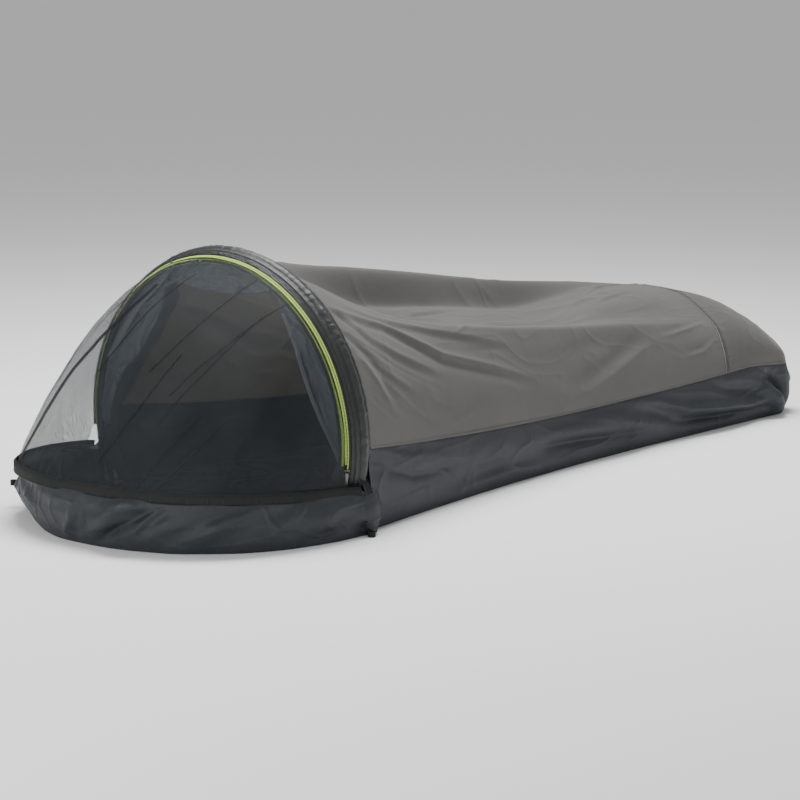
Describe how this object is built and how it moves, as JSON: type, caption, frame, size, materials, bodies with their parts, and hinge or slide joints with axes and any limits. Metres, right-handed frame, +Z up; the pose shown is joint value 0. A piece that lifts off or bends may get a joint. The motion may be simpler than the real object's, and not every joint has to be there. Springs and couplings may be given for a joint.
{
  "type": "bivy sack",
  "caption": "Hooped bivy sack: coated floor tub, shaped top shell, one pole hoop with a zipped netting door over the head and a storm door gathered back inside the hoop.",
  "frame": {"origin": "On the ground, in the middle of the object's length and width.", "axes": "+X from head to toe along the sleeper, +Y to the sleeper's left, +Z up."},
  "size_m": [2.0761, 0.7624, 0.513],
  "materials": {
    "floor_cloth": "coated nylon, blue charcoal",
    "shell_cloth": "waterproof breathable cloth, warm grey",
    "netting": "fine insect netting",
    "binding": "near-black cloth",
    "zip_tape": "pale lime woven tape",
    "zip_teeth": "lime coil",
    "pole": "acetal rod",
    "ferrule": "plain",
    "hardware": "black",
    "moulded": "black moulding",
    "cord": "black cord",
    "webbing": "black webbing"
  },
  "bodies": {
    "sack": {"floor_panel": "floor_cloth", "foot_wall": "floor_cloth", "front_band": "binding", "grommet_left": "hardware", "grommet_right": "hardware", "head_wall": "floor_cloth", "hoop_gusset_left": "floor_cloth", "hoop_gusset_right": "floor_cloth", "hoop_sleeve": "binding", "pole_ferrule_1": "ferrule", "pole_ferrule_2": "ferrule", "pole_ferrule_3": "ferrule", "pole_pocket_left": "webbing", "pole_pocket_right": "webbing", "pole_section_1": "pole", "pole_section_2": "pole", "pole_section_3": "pole", "pole_section_4": "pole", "pole_strap_left": "webbing", "pole_strap_right": "webbing", "pole_tip_left": "moulded", "pole_tip_right": "moulded", "shock_cord": "cord", "side_wall_left": "floor_cloth", "side_wall_right": "floor_cloth", "storm_door": "shell_cloth", "tie_strap_left": "cord", "tie_strap_right": "cord", "toe_cap": "shell_cloth", "top_shell": "shell_cloth", "zip_end_stops": "zip_teeth", "zip_tape_hoop": "zip_tape", "zip_teeth_hoop": "zip_teeth"},
    "netting_door": {"netting_panel": "netting", "zip_tape_door": "zip_tape", "zip_teeth_door": "zip_teeth"},
    "slider": {"zip_slider": "hardware"},
    "pull": {"zip_pull": "hardware", "pull_cord": "cord"},
    "toggle_right": {"toggle_right": "moulded"},
    "toggle_left": {"toggle_left": "moulded"},
    "loop_right": {"stake_loop_right": "webbing"},
    "loop_left": {"stake_loop_left": "webbing"},
    "loop_head": {"stake_loop_head": "webbing"}
  },
  "joints": [
    {"name": "netting_door_fold", "type": "hinge", "parent": "sack", "child": "netting_door", "pos_m": [-0.6645, 0, 0.125], "axis": [0, -1, 0], "range_deg": [0, 80], "deforming": ["netting_panel"]},
    {"name": "zip_run", "type": "hinge", "parent": "sack", "child": "slider", "pos_m": [-0.6475, 0, 0.16], "axis": [1, 0, 0], "range_deg": [-194.4, 0]},
    {"name": "pull_swing", "type": "hinge", "parent": "slider", "child": "pull", "pos_m": [-0.66502, -0.33678, 0.11745], "axis": [-0.8, 0.5953, 0.0752], "range_deg": [-6, 138]},
    {"name": "toggle_turn_right", "type": "hinge", "parent": "sack", "child": "toggle_right", "pos_m": [-0.6515, -0.14, 0.44], "axis": [1, 0, 0], "range_deg": [-90, 90]},
    {"name": "toggle_turn_left", "type": "hinge", "parent": "sack", "child": "toggle_left", "pos_m": [-0.6515, 0.14, 0.44], "axis": [1, 0, 0], "range_deg": [-90, 90]},
    {"name": "loop_swing_right", "type": "hinge", "parent": "sack", "child": "loop_right", "pos_m": [-0.6275, -0.3602, 0.006], "axis": [0, 0, 1], "range_deg": [-20, 85]},
    {"name": "loop_swing_left", "type": "hinge", "parent": "sack", "child": "loop_left", "pos_m": [-0.6275, 0.3602, 0.006], "axis": [0, 0, 1], "range_deg": [-85, 20]},
    {"name": "loop_swing_head", "type": "hinge", "parent": "sack", "child": "loop_head", "pos_m": [-0.8796, 0.31467, 0.047], "axis": [0, 0, 1], "range_deg": [-60, 40]}
  ]
}
